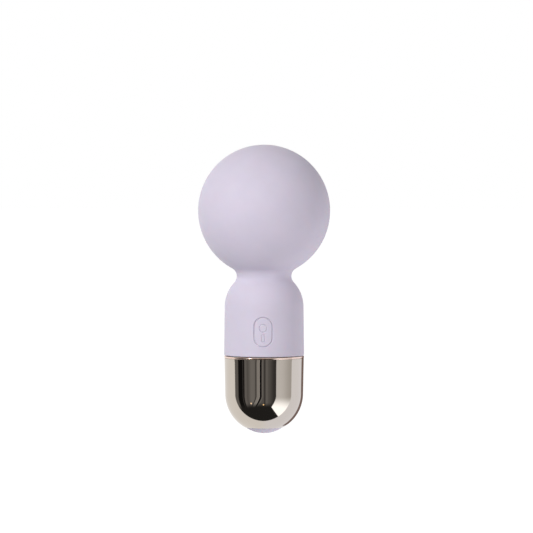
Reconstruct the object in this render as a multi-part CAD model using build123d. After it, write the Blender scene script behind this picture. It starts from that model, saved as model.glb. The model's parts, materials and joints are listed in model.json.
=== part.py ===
from build123d import *
import math
import os

# Handheld wand massager: a silicone-skinned ball head on a flexible neck, a slim round
# handle with one thumb button, and a plated base cup with a charging socket under a flap.
# Millimetres. +Z runs up the wand's axis from the tip of the base to the ball, the button
# faces -Y, and the origin is the lowest point of the base, on the axis.

# Outer form
BALL_RADIUS = 24.0
BALL_Z = 81.0
SHOULDER_RADIUS = 13.2
SHOULDER_Z = 46.0
HANDLE_TOP_RADIUS = 14.35
HANDLE_BOTTOM_RADIUS = 14.55
NECK_FILLET = 3.2
SKIN_BOTTOM_Z = 28.4
BASE_TOP_RADIUS = 14.45
BASE_RADIUS = 14.2
BASE_BALL_Z = 14.47
TRIM_TOP_Z = 28.2
TRIM_HEIGHT = 0.75
SEAL_RECESS = 0.7

# Walls
SKIN = 1.8
WALL = 1.5
HEAD_WALL = 1.8
BASE_INNER_RADIUS = 12.75
GAP = 0.05
CLEAR = 0.3

# Neck
HANDLE_SKIN_TOP_Z = 53.0
HEAD_SKIN_BOTTOM_Z = 61.5
HANDLE_SHELL_TOP_Z = 53.2
HEAD_SHELL_BOTTOM_Z = 60.6
SPIGOT_RADIUS = 4.2
SPIGOT_BORE = 3.0
SPIGOT_LENGTH = 1.7
COUPLING_RADIUS = 6.6
COUPLING_WAIST = 5.6
CLAMP_RADIUS = 7.2
CLAMP_HEIGHT = 1.2

# Handle shell
SKIRT_RADIUS = 12.55
SKIRT_BOTTOM_Z = 18.0
BOSS_RADIUS = 1.8
BOSS_X = 9.2
SHELL_SCREW_Z = (22.0, 43.0)
BOSS_FRONT_Y = -4.0
SCREW_RADIUS = 0.8
SCREW_HEAD_RADIUS = 1.5
SCREW_HEAD_HEIGHT = 1.1
SCREW_SLOT = 0.4
SCREW_TIP_Y = -3.2
SCREW_SEAT_Y = 4.5

# Button
BUTTON_Z = 37.45
GROOVE_WIDTH = 6.85
GROOVE_HEIGHT = 10.9
PAD_WIDTH = 6.3
PAD_HEIGHT = 10.35
PAD_BACK_Y = -13.0
POCKET_Y = -12.2
ACTUATOR_WIDTH = 4.0
ACTUATOR_HEIGHT = 8.0
ACTUATOR_BACK_Y = -9.9
PLUNGER_RADIUS = 1.75
PLUNGER_BACK_Y = -8.0
SWITCH_FRONT_Y = -8.9
SWITCH_FLOOR_Y = -7.3
SWITCH_SIDE = 6.0

# Circuit board and cell
BOARD_FRONT_Y = -6.8
BOARD_THICKNESS = 1.0
BOARD_WIDTH = 15.0
BOARD_BOTTOM_Z = 17.5
BOARD_TOP_Z = 49.0
BOARD_SCREW_X = 5.4
BOARD_SCREW_GRIP = 1.8
BOARD_SCREW_Z = (25.0, 46.5)
CHIP_SIDE = 5.0
CHIP_HEIGHT = 1.3
CHIP_Z = 35.5
PASSIVE_SIZE = (1.6, 0.9, 1.0)
PASSIVE_X = 4.6
PASSIVE_Z = (31.0, 34.0, 37.0, 40.0)
DRIVER_SIZE = (6.8, 1.6, 4.0)
DRIVER_Z = 29.0
CELL_RADIUS = 7.0
CELL_Y = 3.6
CELL_BOTTOM_Z = 17.0
CELL_TOP_Z = 47.0
TAB_THICKNESS = 0.3
FOAM_BOTTOM_Z = 28.0
FOAM_TOP_Z = 40.0
LEAD_RADIUS = 0.5

# Charging socket and its flap
PORT_RADIUS = 6.9
FLAP_RADIUS = 6.75
FLAP_TOP_Z = 2.8
FLAP_EDGE_Z = 2.15
FLAP_BOSS_RADIUS = 4.4
FLAP_BOSS_TOP_Z = 3.4
INSERT_BOTTOM_Z = 4.1
INSERT_TOP_Z = 5.6
SOCKET_RADIUS = 3.4
SOCKET_BORE = 1.3
SOCKET_MOUTH_Z = 4.3
SOCKET_BORE_TOP_Z = 13.0
SOCKET_TOP_Z = 14.6
SOCKET_PIN_RADIUS = 0.4
SOCKET_PIN_X = 1.4
SOCKET_PIN_Y = -2.5
SOCKET_PIN_TOP_Z = 15.6

# Motor, on the wand's axis in the head
CAN_RADIUS = 8.0
CAN_WALL = 0.6
CAN_BOTTOM_Z = 67.0
CAN_TOP_Z = 86.0
BELL_BOTTOM_Z = 65.0
BELL_SPIGOT = 0.8
TERMINAL_X = 3.2
MAGNET_THICKNESS = 1.3
MAGNET_GAP = 2.4
MAGNET_BOTTOM_Z = 70.0
MAGNET_TOP_Z = 83.0
ARMATURE_RADIUS = 5.4
ARMATURE_BOTTOM_Z = 71.0
ARMATURE_TOP_Z = 82.0
COMMUTATOR_RADIUS = 2.4
COMMUTATOR_BOTTOM_Z = 68.2
SHAFT_RADIUS = 1.0
SHAFT_CLEARANCE = 0.03
SHAFT_BOTTOM_Z = 65.6
SHAFT_TOP_Z = 96.5
BUSH_RADIUS = 2.2
WEIGHT_RADIUS = 8.5
WEIGHT_BOTTOM_Z = 88.5
WEIGHT_TOP_Z = 95.5
WEIGHT_HUB_RADIUS = 2.6
SLEEVE_RADIUS = 9.4
SLEEVE_BOTTOM_Z = 69.0
SLEEVE_TOP_Z = 85.0
SLEEVE_SEAT = 1.2
CRADLE_RADIUS = 10.8
CRADLE_FLANGE_Z = 72.0
CRADLE_FLANGE = 1.8
CRADLE_SCREW_RING = 14.2
CRADLE_SCREW_GRIP = 3.8
HEAD_SPLIT_Z = 82.0
HEAD_LAP = 1.0


def circle_meet(centre_a, radius_a, centre_b, radius_b):
    """Where two circles in the (r, z) half-plane cross, on the left of the way from a to b."""
    dr = centre_b[0] - centre_a[0]
    dz = centre_b[1] - centre_a[1]
    apart = math.hypot(dr, dz)
    along = (apart**2 + radius_a**2 - radius_b**2) / (2 * apart)
    across = math.sqrt(radius_a**2 - along**2)
    r = centre_a[0] + (along * dr - across * dz) / apart
    z = centre_a[1] + (along * dz + across * dr) / apart
    return (r, z)


BALL_CENTRE = (0.0, BALL_Z)
SHOULDER_CENTRE = (HANDLE_TOP_RADIUS - SHOULDER_RADIUS, SHOULDER_Z)
NECK_CENTRE = circle_meet(
    BALL_CENTRE,
    BALL_RADIUS + NECK_FILLET,
    SHOULDER_CENTRE,
    SHOULDER_RADIUS + NECK_FILLET,
)


def bearing(start, end):
    """Angle in degrees of the line from start to end in the (r, z) half-plane."""
    return math.degrees(math.atan2(end[1] - start[1], end[0] - start[0]))


def revolved(edges):
    """Solid turned about Z from a closed outline in the (r, z) half-plane."""
    return revolve(Plane.XZ * make_face(edges), Axis.Z)


def rod(radius, low, high, x=0.0, y=0.0):
    return Pos(x, y, (low + high) / 2) * Cylinder(radius, high - low)


def tube(outer, inner, low, high, x=0.0, y=0.0):
    return rod(outer, low, high, x, y) - rod(inner, low, high, x, y)


def rod_y(radius, front, back, x, z):
    """Cylinder along Y between two y values."""
    return Pos(x, (front + back) / 2, z) * Rot(90, 0, 0) * Cylinder(radius, back - front)


def block(x_range, y_range, z_range):
    size = [high - low for low, high in (x_range, y_range, z_range)]
    middle = [(high + low) / 2 for low, high in (x_range, y_range, z_range)]
    return Pos(*middle) * Box(*size)


def around(middle, reach):
    return (middle - reach, middle + reach)


def slab(low, high):
    """A wide block that keeps what lies between two heights."""
    wide = 2 * BALL_RADIUS
    return block((-wide, wide), (-wide, wide), (low, high))


def stadium(width, height, front, back, z):
    """Prism along Y whose section is a slot standing on end."""
    section = Plane((0, front, z), x_dir=(1, 0, 0), z_dir=(0, 1, 0)) * SlotOverall(height, width, rotation=90)
    return extrude(section, back - front)


def envelope(inset):
    """The skin's outer form from the ball down to the skin's lower edge, moved in by inset."""
    ball = BALL_RADIUS - inset
    fillet = NECK_FILLET + inset
    shoulder = SHOULDER_RADIUS - inset
    ball_end = bearing(BALL_CENTRE, NECK_CENTRE)
    shoulder_end = bearing(SHOULDER_CENTRE, NECK_CENTRE)
    ball_arc = CenterArc(BALL_CENTRE, ball, 90, ball_end - 90)
    shoulder_arc = CenterArc(SHOULDER_CENTRE, shoulder, shoulder_end, -shoulder_end)
    neck_arc = CenterArc(NECK_CENTRE, fillet, 180 + ball_end, shoulder_end - ball_end)
    side = Line(shoulder_arc @ 1, (HANDLE_BOTTOM_RADIUS - inset, SKIN_BOTTOM_Z))
    bottom = Line(side @ 1, (0, SKIN_BOTTOM_Z))
    axis = Line((0, SKIN_BOTTOM_Z), ball_arc @ 0)
    return revolved([ball_arc, neck_arc, shoulder_arc, side, bottom, axis])


def wire_run(points, radii, radius):
    """A lead: a round wire along straight runs joined by tangent arcs."""
    path = FilletPolyline(*points, radius=radii)
    start = Plane(path @ 0, z_dir=path % 0)
    return sweep(start * Circle(radius), path)


# ---- silicone skin ----

def silicone():
    skin = envelope(0) - envelope(SKIN)
    opening = stadium(GROOVE_WIDTH, GROOVE_HEIGHT, -BALL_RADIUS, 0, BUTTON_Z)
    return {
        "handle_skin": (skin & slab(SKIN_BOTTOM_Z, HANDLE_SKIN_TOP_Z)) - opening,
        "neck_skin": skin & slab(HANDLE_SKIN_TOP_Z, HEAD_SKIN_BOTTOM_Z),
        "head_skin": skin & slab(HEAD_SKIN_BOTTOM_Z, BALL_Z + BALL_RADIUS),
    }


# ---- handle shell, neck coupling ----

def handle_shell():
    inset = SKIN + GAP
    outer = envelope(inset) & slab(SKIN_BOTTOM_Z, HANDLE_SHELL_TOP_Z)
    outer += rod(SKIRT_RADIUS, SKIRT_BOTTOM_Z, SKIN_BOTTOM_Z)
    inner = envelope(inset + WALL) & slab(SKIN_BOTTOM_Z, HANDLE_SHELL_TOP_Z - WALL)
    inner += rod(SKIRT_RADIUS - WALL, SKIRT_BOTTOM_Z, SKIN_BOTTOM_Z)
    shell = outer - inner
    for z in SHELL_SCREW_Z:
        for side in (-1, 1):
            x = side * BOSS_X
            boss = block(around(x, BOSS_RADIUS), (BOSS_FRONT_Y, SKIRT_RADIUS), around(z, BOSS_RADIUS))
            shell += boss & outer
    for z in BOARD_SCREW_Z:
        for side in (-1, 1):
            shell += rod_y(BOSS_RADIUS, -SKIRT_RADIUS, BOARD_FRONT_Y, side * BOARD_SCREW_X, z) & outer
    shell += tube(SPIGOT_RADIUS, SPIGOT_BORE, HANDLE_SHELL_TOP_Z, HANDLE_SHELL_TOP_Z + SPIGOT_LENGTH)
    shell -= rod(SPIGOT_BORE, HANDLE_SHELL_TOP_Z - 2 * WALL, HANDLE_SHELL_TOP_Z + SPIGOT_LENGTH)
    hole = (ACTUATOR_WIDTH + 2 * CLEAR, ACTUATOR_HEIGHT + 2 * CLEAR)
    shell -= stadium(*hole, -BALL_RADIUS, SWITCH_FRONT_Y, BUTTON_Z)
    shell -= stadium(GROOVE_WIDTH + CLEAR, GROOVE_HEIGHT + CLEAR, -BALL_RADIUS, POCKET_Y, BUTTON_Z)
    for z in SHELL_SCREW_Z:
        for side in (-1, 1):
            x = side * BOSS_X
            shell -= rod_y(SCREW_RADIUS, SCREW_TIP_Y - GAP, SCREW_SEAT_Y, x, z)
            shell -= rod_y(SCREW_HEAD_RADIUS + GAP, SCREW_SEAT_Y, SKIRT_RADIUS, x, z)
    for z in BOARD_SCREW_Z:
        for side in (-1, 1):
            shell -= rod_y(SCREW_RADIUS, BOARD_FRONT_Y - BOARD_SCREW_GRIP, 0, side * BOARD_SCREW_X, z)
    wide = 2 * BALL_RADIUS
    front = shell & block((-wide, wide), (-wide, 0), (0, BALL_Z))
    rear = shell & block((-wide, wide), (0, wide), (0, BALL_Z))
    return {"handle_shell_front": front, "handle_shell_rear": rear, "shell_screws": shell_screws()}


def shell_screws():
    screws = []
    for z in SHELL_SCREW_Z:
        for side in (-1, 1):
            x = side * BOSS_X
            head_y = SCREW_SEAT_Y + SCREW_HEAD_HEIGHT
            screw = rod_y(SCREW_RADIUS, SCREW_TIP_Y, SCREW_SEAT_Y, x, z)
            screw += rod_y(SCREW_HEAD_RADIUS, SCREW_SEAT_Y, head_y, x, z)
            slot = block(around(x, 1.0), around(head_y, SCREW_SLOT), around(z, SCREW_SLOT / 2))
            screws.append(screw - slot)
    return Compound(children=screws)


def neck():
    low = HANDLE_SHELL_TOP_Z
    high = HEAD_SHELL_BOTTOM_Z
    middle = (low + high) / 2
    cuff = SPIGOT_LENGTH
    waist = ThreePointArc(
        (COUPLING_RADIUS, low + cuff),
        (COUPLING_WAIST, middle),
        (COUPLING_RADIUS, high - cuff),
    )
    outer = [
        Line((SPIGOT_RADIUS, low), (COUPLING_RADIUS, low)),
        Line((COUPLING_RADIUS, low), (COUPLING_RADIUS, low + cuff)),
        waist,
        Line((COUPLING_RADIUS, high - cuff), (COUPLING_RADIUS, high)),
        Line((COUPLING_RADIUS, high), (SPIGOT_RADIUS, high)),
        Line((SPIGOT_RADIUS, high), (SPIGOT_RADIUS, low)),
    ]
    clamp_low = low + (cuff - CLAMP_HEIGHT) / 2
    clamp_high = high - (cuff - CLAMP_HEIGHT) / 2
    return {
        "neck_coupling": revolved(outer),
        "neck_clamp_lower": tube(CLAMP_RADIUS, COUPLING_RADIUS, clamp_low, clamp_low + CLAMP_HEIGHT),
        "neck_clamp_upper": tube(CLAMP_RADIUS, COUPLING_RADIUS, clamp_high - CLAMP_HEIGHT, clamp_high),
    }


# ---- base cup, trim and charging socket ----

def base_cup():
    top = TRIM_TOP_Z - TRIM_HEIGHT
    outer = revolved([
        CenterArc((0, BASE_BALL_Z), BASE_RADIUS, -90, 90),
        Line((BASE_RADIUS, BASE_BALL_Z), (BASE_TOP_RADIUS, top)),
        Line((BASE_TOP_RADIUS, top), (0, top)),
        Line((0, top), (0, BASE_BALL_Z - BASE_RADIUS)),
    ])
    inner = rod(BASE_INNER_RADIUS, BASE_BALL_Z, top) + Pos(0, 0, BASE_BALL_Z) * Sphere(BASE_INNER_RADIUS)
    cup = outer - inner - rod(PORT_RADIUS, 0, BASE_BALL_Z)
    seal_top = SKIN_BOTTOM_Z - GAP
    return {
        "base_cup": cup,
        "trim_ring": tube(BASE_TOP_RADIUS, BASE_INNER_RADIUS, top, TRIM_TOP_Z),
        "base_seal": tube(HANDLE_BOTTOM_RADIUS - SEAL_RECESS, BASE_INNER_RADIUS, TRIM_TOP_Z, seal_top),
    }


def charging_port():
    rise = FLAP_EDGE_Z
    dome = (FLAP_RADIUS**2 + rise**2) / (2 * rise)
    edge_angle = math.degrees(math.asin(FLAP_RADIUS / dome))
    flap = revolved([
        CenterArc((0, dome), dome, -90, edge_angle),
        Line((FLAP_RADIUS, rise), (FLAP_RADIUS, FLAP_TOP_Z)),
        Line((FLAP_RADIUS, FLAP_TOP_Z), (FLAP_BOSS_RADIUS, FLAP_TOP_Z)),
        Line((FLAP_BOSS_RADIUS, FLAP_TOP_Z), (FLAP_BOSS_RADIUS, FLAP_BOSS_TOP_Z)),
        Line((FLAP_BOSS_RADIUS, FLAP_BOSS_TOP_Z), (0, FLAP_BOSS_TOP_Z)),
        Line((0, FLAP_BOSS_TOP_Z), (0, 0)),
    ])
    # The strap is a short silicone tongue from the flap's rear edge to the insert behind it.
    strap = block((-1.5, 1.5), (5.2, 6.2), (FLAP_TOP_Z, INSERT_BOTTOM_Z))
    cavity = Pos(0, 0, BASE_BALL_Z) * Sphere(BASE_INNER_RADIUS - GAP)
    insert = rod(BASE_INNER_RADIUS, INSERT_BOTTOM_Z, INSERT_TOP_Z) & cavity
    insert -= rod(SOCKET_RADIUS + GAP, INSERT_BOTTOM_Z, INSERT_TOP_Z)
    socket = rod(SOCKET_RADIUS, SOCKET_MOUTH_Z, SOCKET_TOP_Z)
    socket -= rod(SOCKET_BORE, SOCKET_MOUTH_Z, SOCKET_BORE_TOP_Z)
    pins = []
    for side in (-1, 1):
        pins.append(rod(SOCKET_PIN_RADIUS, SOCKET_TOP_Z, SOCKET_PIN_TOP_Z, side * SOCKET_PIN_X, SOCKET_PIN_Y))
    return {
        "port_flap": flap,
        "flap_strap": strap,
        "port_insert": insert,
        "charging_socket": socket,
        "socket_pins": Compound(children=pins),
    }


# ---- button and electronics ----

def button():
    return {
        "button_pad": envelope(0) & stadium(PAD_WIDTH, PAD_HEIGHT, -BALL_RADIUS, PAD_BACK_Y, BUTTON_Z),
        "button_actuator": stadium(ACTUATOR_WIDTH, ACTUATOR_HEIGHT, PAD_BACK_Y, ACTUATOR_BACK_Y, BUTTON_Z),
        "switch_plunger": rod_y(PLUNGER_RADIUS, ACTUATOR_BACK_Y, PLUNGER_BACK_Y, 0, BUTTON_Z),
    }


def electronics():
    board_back = BOARD_FRONT_Y + BOARD_THICKNESS
    board = block(around(0, BOARD_WIDTH / 2), (BOARD_FRONT_Y, board_back), (BOARD_BOTTOM_Z, BOARD_TOP_Z))
    screws = []
    for z in BOARD_SCREW_Z:
        for side in (-1, 1):
            x = side * BOARD_SCREW_X
            board -= rod_y(SCREW_RADIUS + GAP, BOARD_FRONT_Y, board_back, x, z)
            shank = rod_y(SCREW_RADIUS, BOARD_FRONT_Y - BOARD_SCREW_GRIP, board_back, x, z)
            screws.append(shank + rod_y(SCREW_HEAD_RADIUS, board_back, board_back + 0.8, x, z))
    side = SWITCH_SIDE / 2
    switch = block(around(0, side), (SWITCH_FRONT_Y, BOARD_FRONT_Y), around(BUTTON_Z, side))
    switch -= rod_y(PLUNGER_RADIUS + 0.1, SWITCH_FRONT_Y, SWITCH_FLOOR_Y, 0, BUTTON_Z)
    chip_side = CHIP_SIDE / 2
    chip = block(around(0, chip_side), (board_back, board_back + CHIP_HEIGHT), around(CHIP_Z, chip_side))
    wide, high, tall = PASSIVE_SIZE
    passives = []
    for x in (-PASSIVE_X, PASSIVE_X):
        for z in PASSIVE_Z:
            passives.append(block(around(x, wide / 2), (board_back, board_back + high), around(z, tall / 2)))
    wide, high, tall = DRIVER_SIZE
    driver = block(around(0, wide / 2), (BOARD_FRONT_Y - high, BOARD_FRONT_Y), around(DRIVER_Z, tall / 2))
    return {
        "main_board": board,
        "board_screws": Compound(children=screws),
        "tactile_switch": switch,
        "controller_chip": chip,
        "board_components": Compound(children=passives),
        "motor_driver": driver,
    }


def cell():
    body = rod(CELL_RADIUS, CELL_BOTTOM_Z, CELL_TOP_Z, y=CELL_Y)
    tab_y = (CELL_Y - 5, CELL_Y + 1.5)
    top_tab = block((-2, 3.6), tab_y, (CELL_TOP_Z, CELL_TOP_Z + TAB_THICKNESS))
    low_tab = block((-2, 5.4), tab_y, (CELL_BOTTOM_Z - TAB_THICKNESS, CELL_BOTTOM_Z))
    foam = tube(SKIRT_RADIUS - WALL - GAP, CELL_RADIUS + 2.6, FOAM_BOTTOM_Z, FOAM_TOP_Z)
    foam &= block((-6, 6), (8, SKIRT_RADIUS), (FOAM_BOTTOM_Z, FOAM_TOP_Z))
    foam -= rod(CELL_RADIUS, FOAM_BOTTOM_Z, FOAM_TOP_Z, y=CELL_Y)
    return {"battery_cell": body, "battery_tabs": Compound(children=[top_tab, low_tab]), "battery_foam": foam}


def leads():
    on_board = BOARD_FRONT_Y + BOARD_THICKNESS + LEAD_RADIUS
    motor_leads = []
    for x in (-1.2, 1.2):
        points = [(x, on_board, 46), (x, on_board, 49.5), (x, 0, 52.6), (x, 0, BELL_BOTTOM_Z - 1)]
        motor_leads.append(wire_run(points, [1.4, 1.4], LEAD_RADIUS))
    reach = TAB_THICKNESS + LEAD_RADIUS
    battery_leads = []
    for x, z, turn in ((2.9, CELL_TOP_Z + reach, 42.5), (4.6, CELL_BOTTOM_Z - reach, 21)):
        points = [(x, CELL_Y - 4.8, z), (x, on_board, z), (x, on_board, turn)]
        battery_leads.append(wire_run(points, [1.5], LEAD_RADIUS))
    charge_leads = []
    for side in (-1, 1):
        x = side * SOCKET_PIN_X
        points = [(x, SOCKET_PIN_Y, SOCKET_PIN_TOP_Z), (x, on_board, 17.4), (x, on_board, 20.5)]
        charge_leads.append(wire_run(points, [1.2], LEAD_RADIUS))
    return {
        "motor_leads": Compound(children=motor_leads),
        "battery_leads": Compound(children=battery_leads),
        "charging_leads": Compound(children=charge_leads),
    }


# ---- head and motor ----

def head_shell():
    outer = Pos(0, 0, BALL_Z) * Sphere(BALL_RADIUS - SKIN - GAP)
    inner = Pos(0, 0, BALL_Z) * Sphere(BALL_RADIUS - SKIN - GAP - HEAD_WALL)
    floor_z = HEAD_SHELL_BOTTOM_Z + HEAD_WALL
    shell = outer & slab(HEAD_SHELL_BOTTOM_Z, BALL_Z + BALL_RADIUS)
    shell -= inner & slab(floor_z, BALL_Z + BALL_RADIUS)
    shell += tube(SPIGOT_RADIUS, SPIGOT_BORE, HEAD_SHELL_BOTTOM_Z - SPIGOT_LENGTH, floor_z)
    shell -= rod(SPIGOT_BORE, HEAD_SHELL_BOTTOM_Z - SPIGOT_LENGTH, floor_z)
    for x, y in cradle_screw_places():
        shell += rod(BOSS_RADIUS, floor_z, CRADLE_FLANGE_Z, x, y) & outer
        shell -= rod(SCREW_RADIUS, CRADLE_FLANGE_Z - CRADLE_SCREW_GRIP - GAP, CRADLE_FLANGE_Z, x, y)
    lap = BALL_RADIUS - SKIN - GAP - HEAD_WALL / 2
    lower = shell & slab(0, HEAD_SPLIT_Z)
    lower += shell & rod(lap - GAP, HEAD_SPLIT_Z, HEAD_SPLIT_Z + HEAD_LAP)
    upper = shell & slab(HEAD_SPLIT_Z, BALL_Z + BALL_RADIUS)
    upper -= rod(lap, HEAD_SPLIT_Z, HEAD_SPLIT_Z + HEAD_LAP)
    return {"head_shell_lower": lower, "head_shell_upper": upper}


def cradle_screw_places():
    places = []
    for turn in (90, 210, 330):
        angle = math.radians(turn)
        places.append((CRADLE_SCREW_RING * math.cos(angle), CRADLE_SCREW_RING * math.sin(angle)))
    return places


def motor_mounting():
    cradle = tube(CRADLE_RADIUS, SLEEVE_RADIUS, SLEEVE_BOTTOM_Z, SLEEVE_TOP_Z)
    cradle += tube(CRADLE_RADIUS, CAN_RADIUS + GAP, SLEEVE_BOTTOM_Z - SLEEVE_SEAT, SLEEVE_BOTTOM_Z)
    flange = tube(BALL_RADIUS, CRADLE_RADIUS, CRADLE_FLANGE_Z, CRADLE_FLANGE_Z + CRADLE_FLANGE)
    cradle += flange & (Pos(0, 0, BALL_Z) * Sphere(BALL_RADIUS - SKIN - HEAD_WALL - CLEAR))
    screws = []
    top = CRADLE_FLANGE_Z + CRADLE_FLANGE
    head_top = top + SCREW_HEAD_HEIGHT
    for x, y in cradle_screw_places():
        cradle -= rod(SCREW_RADIUS + GAP, CRADLE_FLANGE_Z, top, x, y)
        screw = rod(SCREW_RADIUS, CRADLE_FLANGE_Z - CRADLE_SCREW_GRIP, top, x, y)
        screw += rod(SCREW_HEAD_RADIUS, top, head_top, x, y)
        screws.append(screw - block(around(x, 1.0), around(y, SCREW_SLOT / 2), around(head_top, SCREW_SLOT)))
    return {
        "motor_cradle": cradle,
        "cradle_screws": Compound(children=screws),
        "damping_sleeve": tube(SLEEVE_RADIUS, CAN_RADIUS, SLEEVE_BOTTOM_Z, SLEEVE_TOP_Z),
    }


def motor():
    inner = CAN_RADIUS - CAN_WALL
    bell_top = CAN_BOTTOM_Z + BELL_SPIGOT
    can = rod(CAN_RADIUS, CAN_BOTTOM_Z, CAN_TOP_Z) - rod(inner, CAN_BOTTOM_Z, CAN_TOP_Z - CAN_WALL)
    can -= rod(BUSH_RADIUS, CAN_TOP_Z - CAN_WALL, CAN_TOP_Z)
    bell = rod(inner, BELL_BOTTOM_Z, bell_top) + rod(CAN_RADIUS, BELL_BOTTOM_Z, CAN_BOTTOM_Z)
    bell -= rod(BUSH_RADIUS, SHAFT_BOTTOM_Z, bell_top)
    ring = tube(inner, inner - MAGNET_THICKNESS, MAGNET_BOTTOM_Z, MAGNET_TOP_Z)
    gap = block(around(0, MAGNET_GAP / 2), around(0, CAN_RADIUS), (MAGNET_BOTTOM_Z, MAGNET_TOP_Z))
    bore = SHAFT_RADIUS + SHAFT_CLEARANCE
    terminals = []
    for x in (-TERMINAL_X, TERMINAL_X):
        terminals.append(block(around(x, 0.9), around(0, 0.3), (BELL_BOTTOM_Z - 1, BELL_BOTTOM_Z)))
    return {
        "motor_can": can,
        "motor_end_bell": bell,
        "motor_magnets": Compound(children=list((ring - gap).solids())),
        "front_bush": tube(BUSH_RADIUS, bore, CAN_TOP_Z - 2.0, CAN_TOP_Z + 1.0),
        "rear_bush": tube(BUSH_RADIUS, bore, SHAFT_BOTTOM_Z, bell_top),
        "motor_terminals": Compound(children=terminals),
    }


def rotor():
    core = tube(ARMATURE_RADIUS, SHAFT_RADIUS, ARMATURE_BOTTOM_Z, ARMATURE_TOP_Z)
    slot = block((2.6, 5.5), around(0, 0.5), (ARMATURE_BOTTOM_Z, ARMATURE_TOP_Z))
    for turn in (0, 120, 240):
        core -= Rot(0, 0, turn) * slot
    weight = rod(WEIGHT_RADIUS, WEIGHT_BOTTOM_Z, WEIGHT_TOP_Z)
    weight -= block(around(0, BALL_RADIUS), (-BALL_RADIUS, 0), (WEIGHT_BOTTOM_Z, WEIGHT_TOP_Z))
    weight += rod(WEIGHT_HUB_RADIUS, WEIGHT_BOTTOM_Z, WEIGHT_TOP_Z)
    weight -= rod(SHAFT_RADIUS, WEIGHT_BOTTOM_Z, WEIGHT_TOP_Z)
    return {
        "motor_shaft": rod(SHAFT_RADIUS, SHAFT_BOTTOM_Z + 0.2, SHAFT_TOP_Z),
        "armature": core,
        "commutator": tube(COMMUTATOR_RADIUS, SHAFT_RADIUS, COMMUTATOR_BOTTOM_Z, ARMATURE_BOTTOM_Z),
        "eccentric_weight": weight,
    }


def main():
    os.makedirs("parts", exist_ok=True)
    nodes = {}
    for section in (
        silicone,
        handle_shell,
        neck,
        base_cup,
        charging_port,
        button,
        electronics,
        cell,
        leads,
        head_shell,
        motor_mounting,
        motor,
        rotor,
    ):
        nodes.update(section())
    for name, shape in nodes.items():
        export_step(shape, f"parts/{name}.step")


main()
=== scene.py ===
import bmesh
import bpy
import json
import math
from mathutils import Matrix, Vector


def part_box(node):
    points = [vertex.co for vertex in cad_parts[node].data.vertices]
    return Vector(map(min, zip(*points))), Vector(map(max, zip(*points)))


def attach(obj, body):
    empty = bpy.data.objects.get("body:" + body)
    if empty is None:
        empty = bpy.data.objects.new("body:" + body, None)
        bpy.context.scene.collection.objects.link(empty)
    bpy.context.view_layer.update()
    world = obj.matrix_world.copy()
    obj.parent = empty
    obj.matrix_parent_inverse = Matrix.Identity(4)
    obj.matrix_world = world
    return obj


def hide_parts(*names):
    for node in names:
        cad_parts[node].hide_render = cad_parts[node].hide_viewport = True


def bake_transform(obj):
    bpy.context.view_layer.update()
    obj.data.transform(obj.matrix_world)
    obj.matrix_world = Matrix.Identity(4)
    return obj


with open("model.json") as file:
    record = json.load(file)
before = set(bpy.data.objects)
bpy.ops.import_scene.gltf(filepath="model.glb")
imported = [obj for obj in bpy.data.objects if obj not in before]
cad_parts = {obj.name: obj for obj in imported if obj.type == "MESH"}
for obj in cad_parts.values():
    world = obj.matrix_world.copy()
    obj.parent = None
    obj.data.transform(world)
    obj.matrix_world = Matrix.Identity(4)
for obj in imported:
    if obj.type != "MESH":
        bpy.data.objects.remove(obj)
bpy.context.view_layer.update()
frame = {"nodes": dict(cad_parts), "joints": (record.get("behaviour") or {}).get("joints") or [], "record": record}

# The looks of a handheld wand massager. Metres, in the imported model's frame: +Z runs up the
# wand's axis to the ball, and the button faces -Y.

MM = 0.001


# ---- sizes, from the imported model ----

HEAD_LOW, HEAD_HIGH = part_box("head_skin")
HANDLE_LOW, HANDLE_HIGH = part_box("handle_skin")
BASE_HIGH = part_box("base_cup")[1]
TRIM_LOW, TRIM_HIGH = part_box("trim_ring")
PAD_LOW, PAD_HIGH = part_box("button_pad")
FLAP_LOW, FLAP_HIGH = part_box("port_flap")
STRAP_LOW, STRAP_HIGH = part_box("flap_strap")
COUPLING_LOW, COUPLING_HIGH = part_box("neck_coupling")
LEAD_LOW, LEAD_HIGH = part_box("motor_leads")
NECK_JOINT = next(joint for joint in frame["joints"] if joint["name"] == "neck_nod")
SEAM_Z = NECK_JOINT["pos_m"][2]

BALL_RADIUS = 24.0 * MM
BALL_Z = HEAD_HIGH[2] - BALL_RADIUS
SHOULDER_RADIUS = 13.2 * MM
SHOULDER_Z = 46.0 * MM
HANDLE_TOP_RADIUS = 14.35 * MM
HANDLE_BOTTOM_RADIUS = 14.55 * MM
NECK_FILLET = 3.2 * MM
SKIN = 1.8 * MM
SKIN_BOTTOM_Z = HANDLE_LOW[2]
SKIN_LIP = 0.3 * MM
SEAM_STEP = 0.02 * MM

PAD_HALF_WIDTH = (PAD_HIGH[0] - PAD_LOW[0]) / 2
PAD_HALF_HEIGHT = (PAD_HIGH[2] - PAD_LOW[2]) / 2
PAD_STRAIGHT = PAD_HALF_HEIGHT - PAD_HALF_WIDTH
PAD_BACK_Y = PAD_HIGH[1]
BUTTON_Z = (PAD_LOW[2] + PAD_HIGH[2]) / 2
GROOVE = 0.275 * MM
GROOVE_DEPTH = 0.45 * MM
SLIDE_GAP = 0.02 * MM
BASE_RADIUS = 14.2 * MM
BASE_BALL_Z = 14.47 * MM
PORT_RADIUS = 6.9 * MM
CLAMP_HEIGHT = 1.7 * MM
LEAD_RADIUS = 0.5 * MM

COLUMNS = 360
PATCH_COLUMNS = 24
PATCH_HALF_HEIGHT = 8.0 * MM
PATCH_STEP = 0.25 * MM


# ---- outlines in the (r, z) half-plane ----

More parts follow.
